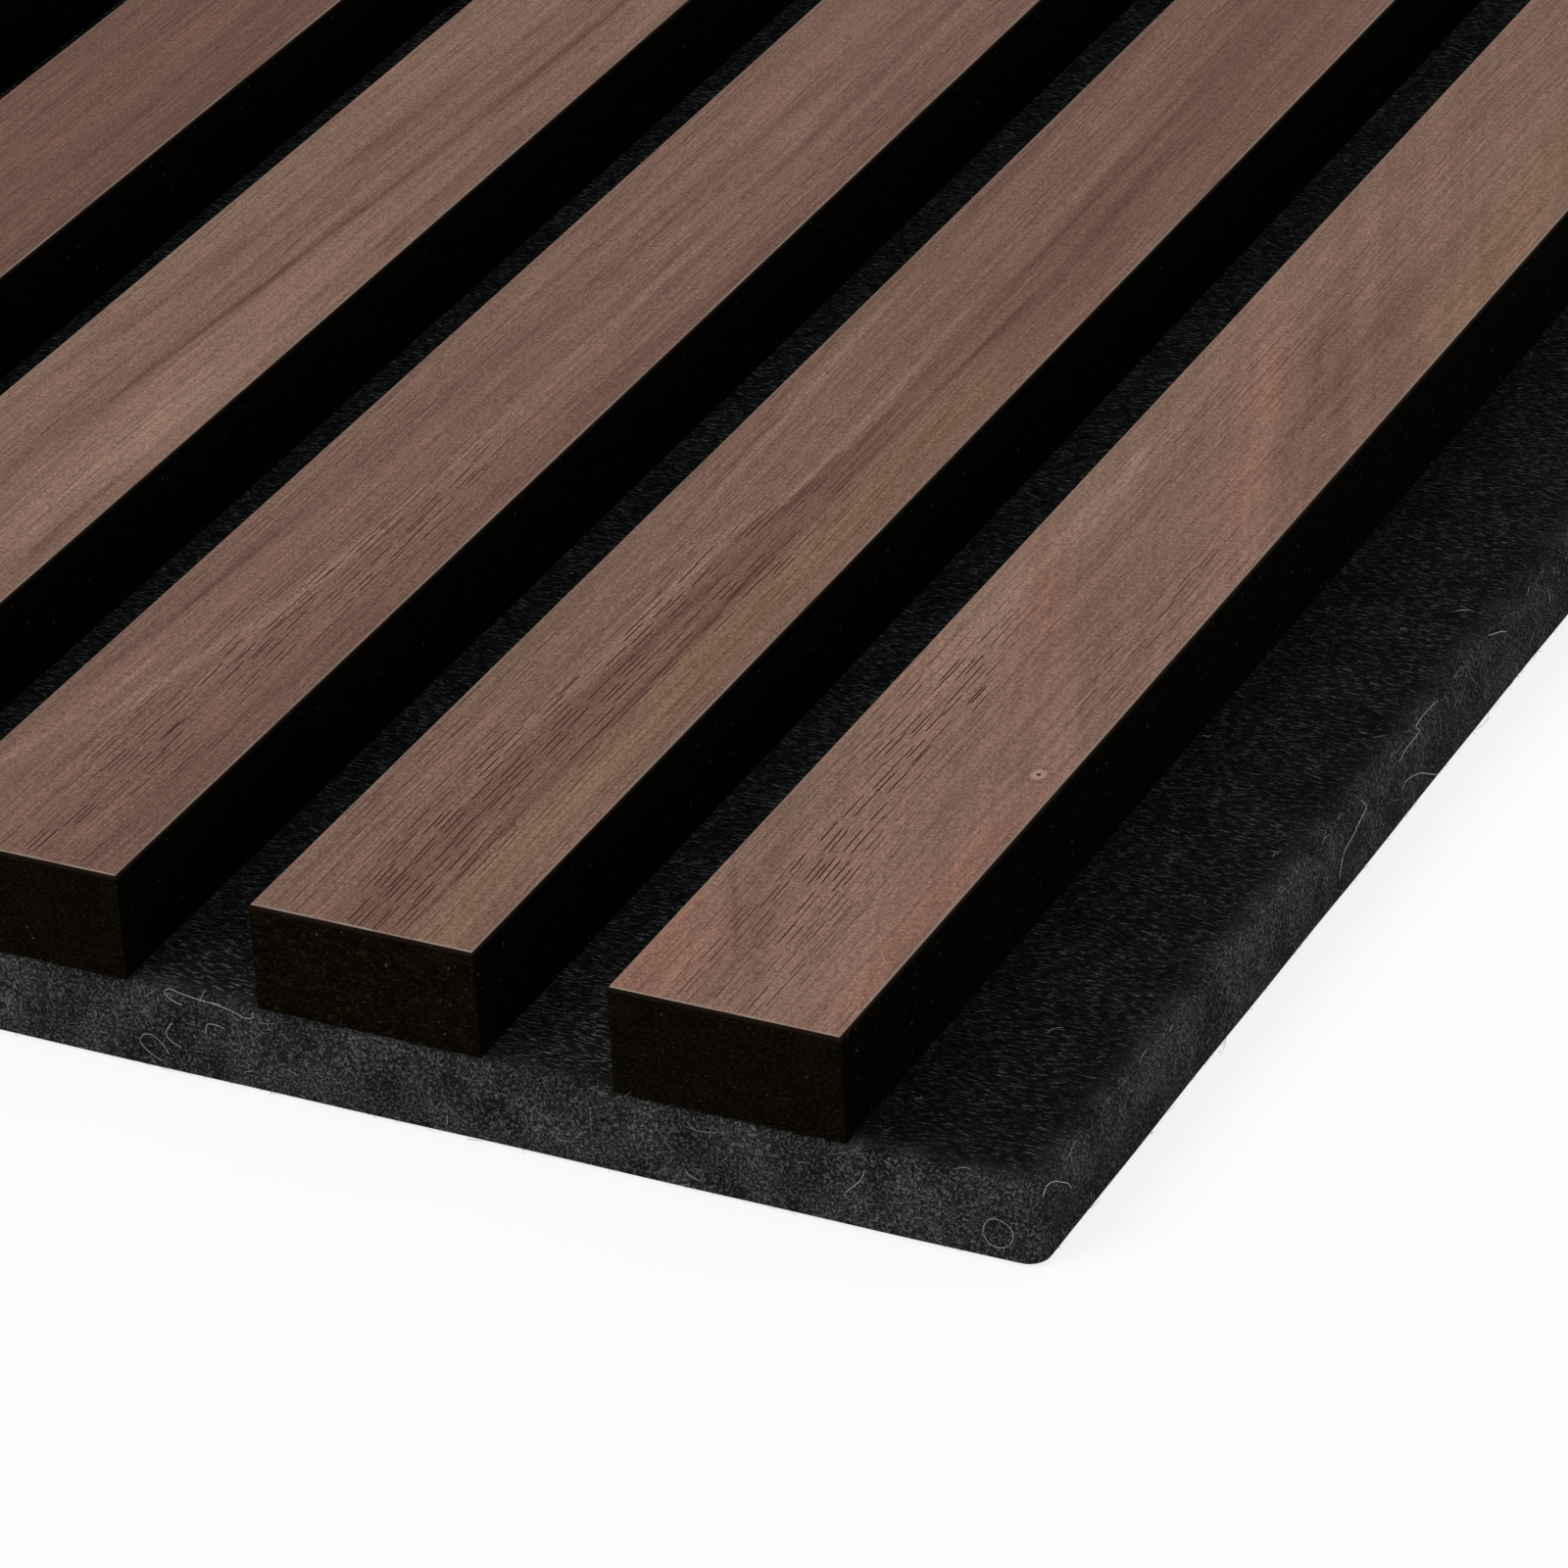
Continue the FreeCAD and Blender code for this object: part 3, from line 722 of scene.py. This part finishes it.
def addMesh(name, vertices, faces, material):
    # A piece that rides on the panel, from whole arrays.
    mesh = bpy.data.meshes.new(name)
    mesh.vertices.add(len(vertices))
    mesh.vertices.foreach_set("co", np.asarray(vertices, np.float32).ravel())
    sides = faces.shape[1]
    mesh.loops.add(faces.size)
    mesh.loops.foreach_set("vertex_index", faces.astype(np.int32).ravel())
    mesh.polygons.add(len(faces))
    mesh.polygons.foreach_set("loop_start", np.arange(0, faces.size, sides, dtype=np.int32))
    mesh.update(calc_edges=True)
    mesh.polygons.foreach_set("use_smooth", np.full(len(faces), True))
    mesh.validate()
    piece = bpy.data.objects.new(name, mesh)
    bpy.context.scene.collection.objects.link(piece)
    mesh.materials.append(material)
    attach(piece, "root")
    return piece


def flareAt(z):
    # How far the cut stands out at a height: nothing at the face and all of it at the back.
    return felt["flare"] * (1 - np.clip((z - feltLow[2]) / (feltHigh[2] - feltLow[2]), 0, 1))


def roundOff(s, points):
    # First the outline: near a corner, the square of points is drawn in to a quarter disc.
    # Then the edges: places that lie out by a and up by b, as shares of the roundness, are
    # drawn in from the corner of that square to its quarter circle in the same way.
    radius = s["cornerRadius"]
    flat, z = points[:, :2], points[:, 2].copy()
    inner = np.clip(flat, feltLow[:2] + radius, feltHigh[:2] - radius)
    lean = (flat - inner) / radius
    share = np.abs(lean).max(1)
    outward = lean / np.maximum(np.linalg.norm(lean, axis=1, keepdims=True), 1e-9)
    flat = inner + radius * outward * share[:, None]
    for (inwards, depth), side, inside in (
        (s["topEdge"], feltHigh[2], -1), (s["backEdge"], feltLow[2], 1)
    ):
        a = np.clip(1 - radius * (1 - share) / inwards, 0, 1)
        b = np.clip(1 - np.abs(side - points[:, 2]) / depth, 0, 1)
        drawnIn = 1 - np.maximum(a, b) / np.maximum(np.hypot(a, b), 1e-9)
        flat = flat - outward * (inwards * a * drawnIn)[:, None]
        z += inside * depth * b * drawnIn
    return np.column_stack([flat, z])


def stapleRows():
    # Where the rows of staples lie along the slats: the places of all their points in
    # order, parted wherever a wide gap follows, and the mean of each part.
    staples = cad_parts["back_staples"].data
    wire = np.empty(len(staples.vertices) * 3, np.float32)
    staples.vertices.foreach_get("co", wire)
    places = np.sort(wire[1::3])
    gaps = np.flatnonzero(np.diff(places) > 50 * mm) + 1
    return np.array([row.mean() for row in np.split(places, gaps)])


def buildFelt(s, material):
    # A box of grid lines that are close together where it bends, then rounded off.
    low, high = feltLow, feltHigh
    rows = stapleRows()
    nearSlats = (slatCentres[:, None] + s["linesAcross"]).ravel()
    nearRows = (rows[:, None] + s["linesAlong"]).ravel()
    closeEnd = low[1] + s["closePart"]
    close = np.arange(low[1] + 6 * mm, closeEnd, s["closeStep"])
    wide = np.arange(closeEnd, high[1] - 8 * mm, s["wideStep"])
    xs = edgeLines(low[0], high[0], nearSlats, s["cornerRadius"])
    ys = edgeLines(low[1], high[1], np.concatenate([nearRows, close, wide]), s["cornerRadius"])
    zs = low[2] + (high[2] - low[2]) * s["linesUp"]
    points, faces = boxShell(xs, ys, zs)
    points = roundOff(s, points)

    # The cut edges wave a little and lean out, less and less away from the edge.
    x, y, z = points.T.copy()
    reach = s["wavinessReach"]
    layers = s["waviness"] * (0.6 + 0.4 * np.sin(z / (1.7 * mm)))
    sides = ((0, y, 1, 0.4), (0, y, -1, 1.9), (1, x, 1, 3.1), (1, x, -1, 5.2))
    for axis, other, end, phase in sides:
        edge = end * (high if end > 0 else low)[axis]
        near = softStep(end * points[:, axis], edge - reach, edge)
        points[:, axis] += near * (layers * waves(other, phase) + end * flareAt(z))

    # The top swells between the slats, and the back is drawn in at each staple.
    fromSlat = np.abs(x[:, None] - slatCentres).min(1) - slatWidth / 2
    onTop = z > high[2] - 0.1 * mm
    inside = softStep(np.minimum(high[0] - x, x - low[0]), 1 * mm, 8 * mm)
    points[:, 2] += onTop * inside * s["channelSwell"] * softStep(fromSlat, 0, 4 * mm)
    nearX = np.abs(x[:, None] - slatCentres).min(1)
    nearY = np.abs(y[:, None] - rows).min(1)
    drawX = 1 - softStep(nearX, 0.7 * mm, 0.7 * mm + s["dimpleReach"][0])
    drawY = 1 - softStep(nearY, s["stapleHalfCrown"], s["stapleHalfCrown"] + s["dimpleReach"][1])
    onBack = z < low[2] + 0.1 * mm
    points[:, 2] += onBack * drawX * drawY * (stapleLow.z + s["stapleWire"])

    piece = addMesh("felt_sheet", points, faces, material)
    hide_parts("felt_backing")
    print("felt sheet:", len(faces), "quads")


# Loose fibres of the felt

fibre = {
    "dark": (0.030, 0.030, 0.031),
    "pale": (0.42, 0.42, 0.41),
    "fuzzPerMetre": 4400,
    "fuzzLength": (0.40 * mm, 1.8 * mm),
    "fuzzRadius": 0.022 * mm,
    "fuzzLean": 0.9,  # how far a fibre leans to the side and up, as a share of its length
    "fuzzBend": (0.7, 0.6),  # how far it bends over, to the side and up
    "lintPerSquareMetre": 16000,
    "lintLength": (0.5 * mm, 2.4 * mm),
    "lintRadius": 0.028 * mm,
    "curlRadius": 0.043 * mm,
    "curlSteps": 36,
    "curlLength": (3 * mm, 9 * mm),
    # More curls, beside the ones listed below: side, from, to and how many. Metres.
    "moreCurls": (
        ("front", 0.01, 0.46, 16), ("rear", 0.01, 0.595, 22),
        ("left", 0.01, 2.39, 80), ("right", 0.15, 2.33, 70),
    ),
    "seed": 20,
}

# Long pale fibres that curl out of the cut edges, as points along each one in
# millimetres: x and z on the front edge, and y and z on the right edge.
frontCurls = [
    [(209.3, 7.9), (208.3, 8.3), (207.4, 9.1), (208.1, 9.8), (209.5, 9.6), (211.2, 9.4),
     (213.5, 9.2), (215.3, 8.8), (216.5, 8.3), (217.4, 8.4), (217.3, 9.0)],
    [(212.1, 10.4), (211.8, 9.6), (211.4, 8.8)],
    [(206.4, 0.9), (205.2, 1.8), (204.3, 2.8), (204.7, 3.8), (205.8, 4.0), (206.7, 3.1), (207.4, 1.9)],
    [(208.8, 3.0), (207.9, 3.8), (207.4, 4.7), (207.9, 5.7)],
    [(211.7, 5.2), (212.3, 6.7), (213.5, 6.8), (213.9, 6.3)],
    [(296.8, 2.4), (297.3, 4.1), (298.4, 4.8), (299.8, 4.4), (300.3, 3.3), (299.4, 1.9),
     (297.8, 1.7), (296.9, 2.5)],
    [(282.4, 3.0), (282.6, 4.0), (284.2, 5.7), (284.5, 6.7)],
    [(265.1, 2.2), (265.9, 1.9), (266.7, 1.3)],
]
rightCurls = [
    [(-1199.2, 7.4), (-1198.6, 8.4), (-1197.4, 8.2), (-1195.6, 7.0), (-1194.2, 6.0), (-1193.0, 4.6)],
    [(-1110.8, 7.1), (-1109.1, 7.9), (-1107.4, 8.2), (-1105.9, 8.5), (-1107.0, 9.3),
     (-1106.1, 9.7), (-1104.1, 9.6), (-1102.4, 9.3), (-1099.8, 8.7)],
    [(-1110.4, 3.8), (-1109.5, 4.6), (-1106.6, 3.8), (-1103.7, 2.1), (-1101.1, 0.6)],
    [(-1127.2, 2.5), (-1126.5, 5.0), (-1124.2, 6.0), (-1122.0, 6.8), (-1120.1, 7.1), (-1120.8, 8.2)],
    [(-1085.8, 9.2), (-1083.4, 8.5), (-1080.7, 7.0)],
]


def makeFibre(s):
    # Pale and dark polyester strands: each strand's own tone is stored on its points.
    material, tree, shader = newMaterial("looseFibre")
    tone = addNode(tree, "ShaderNodeAttribute", attribute_name="fibreTone").outputs["Fac"]
    grain = noise(tree, placeInMillimetres(tree), scale=4.0)
    colour = tint(tree, tone, s["dark"], s["pale"])
    colour = scaled(tree, colour, remap(tree, grain, 0.3, 0.7, 0.8, 1.15))
    fill(tree, shader, {
        "Base Color": colour, "Specular IOR Level": 0.3,
        "Roughness": remap(tree, grain, 0.3, 0.7, 0.5, 0.7),
        "Normal": bump(tree, grain, 0.01 * mm, 0.4),
    })
    return material


def strandTubes(lines, radii, sides):
    # Thin tubes round many lines at once: at each point a ring in the plane across
    # the line, from two directions at right angles to the tangent. Ends taper.
    count, steps, _ = lines.shape
    tangent = np.gradient(lines, axis=1)
    tangent /= np.maximum(np.linalg.norm(tangent, axis=2, keepdims=True), 1e-12)
    helper = np.where(np.abs(tangent[..., 2:]) < 0.8, np.array([0, 0, 1.0]), np.array([1.0, 0, 0]))
    first = np.cross(tangent, helper)
    first /= np.linalg.norm(first, axis=2, keepdims=True)
    second = np.cross(tangent, first)
    angle = np.arange(sides) * 2 * np.pi / sides
    taper = np.where((np.arange(steps) == 0) | (np.arange(steps) == steps - 1), 0.35, 1.0)
    size = radii[:, None, None, None] * taper[None, :, None, None]
    ring = first[:, :, None] * np.cos(angle)[:, None] + second[:, :, None] * np.sin(angle)[:, None]
    points = (lines[:, :, None] + size * ring).reshape(-1, 3)

    strand = np.arange(count)[:, None, None] * steps * sides
    step = np.arange(steps - 1)[None, :, None] * sides
    side = np.arange(sides)[None, None, :]
    a = strand + step + side
    b = strand + step + (side + 1) % sides
    faces = np.stack([a, b, b + sides, a + sides], -1).reshape(-1, 4)
    return points, faces


def addStrands(name, lines, radii, tones, material, sides=3):
    # One piece from many lines, with every line's tone on all its points.
    points, faces = strandTubes(lines, radii, sides)
    piece = addMesh(name, points, faces, material)
    attribute = piece.data.attributes.new("fibreTone", "FLOAT", "POINT")
    attribute.data.foreach_set("value", np.repeat(tones, lines.shape[1] * sides).astype(np.float32))
    print(name + ":", len(lines), "strands,", len(faces) * 2, "triangles")


def edgePlace(side, along, height):
    # Points on a cut edge, the way out of it and the way along it, for one of four sides.
    axis = int(side in ("front", "rear"))
    sign, corner = (1, feltHigh) if side in ("rear", "right") else (-1, feltLow)
    place, out, level = np.zeros((3, len(along), 3))
    place[:, axis], out[:, axis] = corner[axis], sign
    place[:, 1 - axis], level[:, 1 - axis] = feltLow[1 - axis] + along, 1
    place[:, 2] = height
    return place, out, level


def buildFuzz(s, material, side, length, order):
    # Short fibres standing out of one cut edge. Each leans away from square and bends
    # over on its way: its points are root + out * t + sideways * t squared, and so on.
    rng = np.random.default_rng(s["seed"] + order)
    count = int(length * s["fuzzPerMetre"])
    inset = felt["cornerRadius"]
    along = rng.uniform(inset, length - inset, count)
    height = feltLow[2] + (feltHigh[2] - feltLow[2]) * rng.beta(0.8, 0.8, count)
    root, out, level = edgePlace(side, along, height)
    each = (count, 1, 1)
    size = rng.uniform(*s["fuzzLength"], each) * rng.uniform(0.4, 1.0, each)
    t = np.linspace(0, 1, 4)[None, :, None]
    up = np.array([0, 0, 1.0])
    leanLevel = rng.normal(0, s["fuzzLean"], each)
    leanUp = rng.normal(0.1, s["fuzzLean"], each)
    bendLevel = rng.normal(0, s["fuzzBend"][0], each)
    bendUp = rng.normal(-0.15, s["fuzzBend"][1], each)
    flat = rng.uniform(0.15, 0.75, each)
    lines = root[:, None] + size * (
        out[:, None] * flat * (t - 0.45 * t**2)
        + level[:, None] * (leanLevel * t + bendLevel * t**2)
        + up * (leanUp * t + bendUp * t**2)
    )
    lines[..., 2] = np.clip(lines[..., 2], 0.03 * mm, feltHigh[2] + 0.6 * mm)
    lines += out[:, None] * (flareAt(lines[..., 2:]) - 0.05 * mm)
    radii = s["fuzzRadius"] * rng.uniform(0.7, 1.3, count)
    tones = rng.beta(0.7, 2.4, count)
    addStrands(f"felt_fuzz_{side}", lines, radii, tones, material)


def buildLint(s, material):
    # Short fibres lying on the felt's face in the channels and the margin: each an arc
    # whose heading turns evenly, and which rises off the felt as a parabola.
    rng = np.random.default_rng(s["seed"] + 9)
    low, high = feltLow, feltHigh
    lows = slatCentres + slatWidth / 2
    highs = np.append(slatCentres[1:] - slatWidth / 2, high[0] - 1 * mm)
    widths = highs - lows
    count = int(widths.sum() * (high[1] - low[1]) * s["lintPerSquareMetre"])
    strip = rng.choice(len(widths), count, p=widths / widths.sum())
    x = lows[strip] + (0.6 * mm + rng.uniform(0, 1, count) * (widths[strip] - 1.2 * mm))
    y = rng.uniform(low[1] + 1 * mm, high[1] - 1 * mm, count)
    turn = math.radians(felt["layAngle"]) + rng.normal(0, 0.55, count)
    size = rng.uniform(*s["lintLength"], count)
    bend = rng.normal(0, 1.1, count)
    t = np.linspace(-0.5, 0.5, 4)
    angle = turn[:, None] + bend[:, None] * t
    stepX = np.cos(angle) * size[:, None] * t
    stepY = np.sin(angle) * size[:, None] * t
    lift = (0.25 - t**2) * rng.uniform(0.1, 0.9, count)[:, None] * size[:, None] * 0.5
    fromX, toX = lows[strip][:, None] + 0.1 * mm, highs[strip][:, None] - 0.1 * mm
    lineX = np.clip(x[:, None] + stepX, fromX, toX)
    lineZ = high[2] + felt["channelSwell"] * 0.6 + lift
    lines = np.stack([lineX, y[:, None] + stepY, lineZ], -1)
    radii = s["lintRadius"] * rng.uniform(0.6, 1.3, count)
    tones = rng.beta(0.6, 3.2, count)
    addStrands("felt_lint", lines, radii, tones, material)


def smoothLine(points, steps):
    # A curve through the points, sampled evenly: on each stretch a cubic whose slope at
    # both ends is half the chord between that point's two neighbours.
    p = np.asarray(points, float)
    p = np.vstack([2 * p[0] - p[1], p, 2 * p[-1] - p[-2]])
    u = np.linspace(0, len(points) - 1, steps)
    i = np.minimum(u.astype(int), len(points) - 2)
    t = (u - i)[:, None]
    a, b, c, d = p[i], p[i + 1], p[i + 2], p[i + 3]
    squareTerm = (2 * a - 5 * b + 4 * c - d) * t**2
    cubeTerm = (3 * b - a - 3 * c + d) * t**3
    return 0.5 * (2 * b + (c - a) * t + squareTerm + cubeTerm)


def buildCurls(s, material):
    # The long pale fibres, each lying on its cut edge and standing off it in the middle.
    rng = np.random.default_rng(s["seed"] + 30)
    steps = s["curlSteps"]
    share = np.linspace(0, 1, steps)
    lines = []
    for side, curls in (("front", frontCurls), ("right", rightCurls)):
        for curl in curls:
            flat = smoothLine(curl, steps) * mm
            lift = (0.15 + 0.5 * np.sin(np.pi * share)) * mm
            lift += flareAt(flat[:, 1])
            if side == "front":
                lines.append(np.stack([flat[:, 0], feltLow[1] - lift, flat[:, 1]], 1))
            else:
                lines.append(np.stack([feltHigh[0] + lift, flat[:, 0], flat[:, 1]], 1))
    # More of the same kind on the rest of the edges, each a line whose heading turns.
    for side, start, end, count in s["moreCurls"]:
        along = rng.uniform(start, end, count)
        height = rng.uniform(2, 7, count) * mm
        root, out, level = edgePlace(side, along, height)
        heading = rng.uniform(0, 2 * np.pi, (count, 1)) + rng.normal(0, 3.2, (count, 1)) * share
        heading = heading + 0.9 * np.sin(rng.uniform(3, 9, (count, 1)) * share)
        run = rng.uniform(*s["curlLength"], (count, 1)) / steps
        u = np.cumsum(np.cos(heading) * run, 1)
        v = np.cumsum(np.sin(heading) * run * 0.7, 1)
        lift = (0.12 + rng.uniform(0.1, 0.9, (count, 1)) * np.sin(np.pi * share)) * mm
        line = root[:, None] + out[:, None] * lift[..., None] + level[:, None] * u[..., None]
        line[..., 2] = np.clip(line[..., 2] + v, 0.15 * mm, feltHigh[2] + 0.8 * mm)
        line += out[:, None] * flareAt(line[..., 2:])
        lines.extend(line)
    lines = np.array(lines)
    radii = s["curlRadius"] * rng.uniform(0.6, 1.1, len(lines))
    shown = len(frontCurls) + len(rightCurls)
    radii[:shown] = s["curlRadius"]
    tones = rng.uniform(0.2, 0.7, len(lines))
    tones[:shown] = rng.uniform(0.45, 0.8, shown)
    addStrands("felt_curls", lines, radii, tones, material, sides=4)


# Staples

steel = {
    "zinc": (0.62, 0.63, 0.65),
    "dull": (0.36, 0.37, 0.38),
    "lineScale": (9.0, 0.5, 9.0),  # of the drawing lines, which run along the crown
}


def makeSteel(s):
    # Drawn wire: fine lines along the crown, with duller spots of zinc.
    material, tree, shader = newMaterial("stapleSteel")
    place = placeInMillimetres(tree)
    sockets = {"Vector": place, "Scale": s["lineScale"]}
    drawnOut = addNode(tree, "ShaderNodeMapping", sockets).outputs[0]
    lines = noise(tree, drawnOut)
    spots = noise(tree, place, scale=1.5)
    colour = tint(tree, remap(tree, spots, 0.4, 0.65), s["zinc"], s["dull"])
    fill(tree, shader, {
        "Base Color": colour, "Metallic": 1.0,
        "Roughness": remap(tree, lines, 0.3, 0.7, 0.28, 0.48),
        "Normal": bump(tree, lines, 0.02 * mm, 0.5),
    })
    return material


def dress(prefix, material):
    # Gives every CAD node of one kind its finish.
    for name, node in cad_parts.items():
        if name.startswith(prefix):
            node.data.materials.clear()
            node.data.materials.append(material)


buildCamera(camera)
buildLight(light)
buildFloor(light)
print("camera, light and floor are in place")

leafRng = np.random.default_rng(walnut["seed"])
for number in slatNumbers:
    leaf = leaves.get(number) or plainLeaf(walnut, leafRng)
    dress(f"slat_veneer_{number:02d}", makeWalnut(walnut, number, leaf))
dress("slat_core_", makeFibreboard(fibreboard))
dress("back_staples", makeSteel(steel))
print("slats and staples have their finish")

buildFelt(felt, makeFelt(felt))
strandFinish = makeFibre(fibre)
feltWidth, feltLength = feltHigh[0] - feltLow[0], feltHigh[1] - feltLow[1]
edges = (("front", feltWidth), ("right", feltLength), ("left", feltLength), ("rear", feltWidth))
for order, (side, length) in enumerate(edges):
    buildFuzz(fibre, strandFinish, side, length, order)
buildLint(fibre, strandFinish)
buildCurls(fibre, strandFinish)
print("felt and its loose fibres are made")
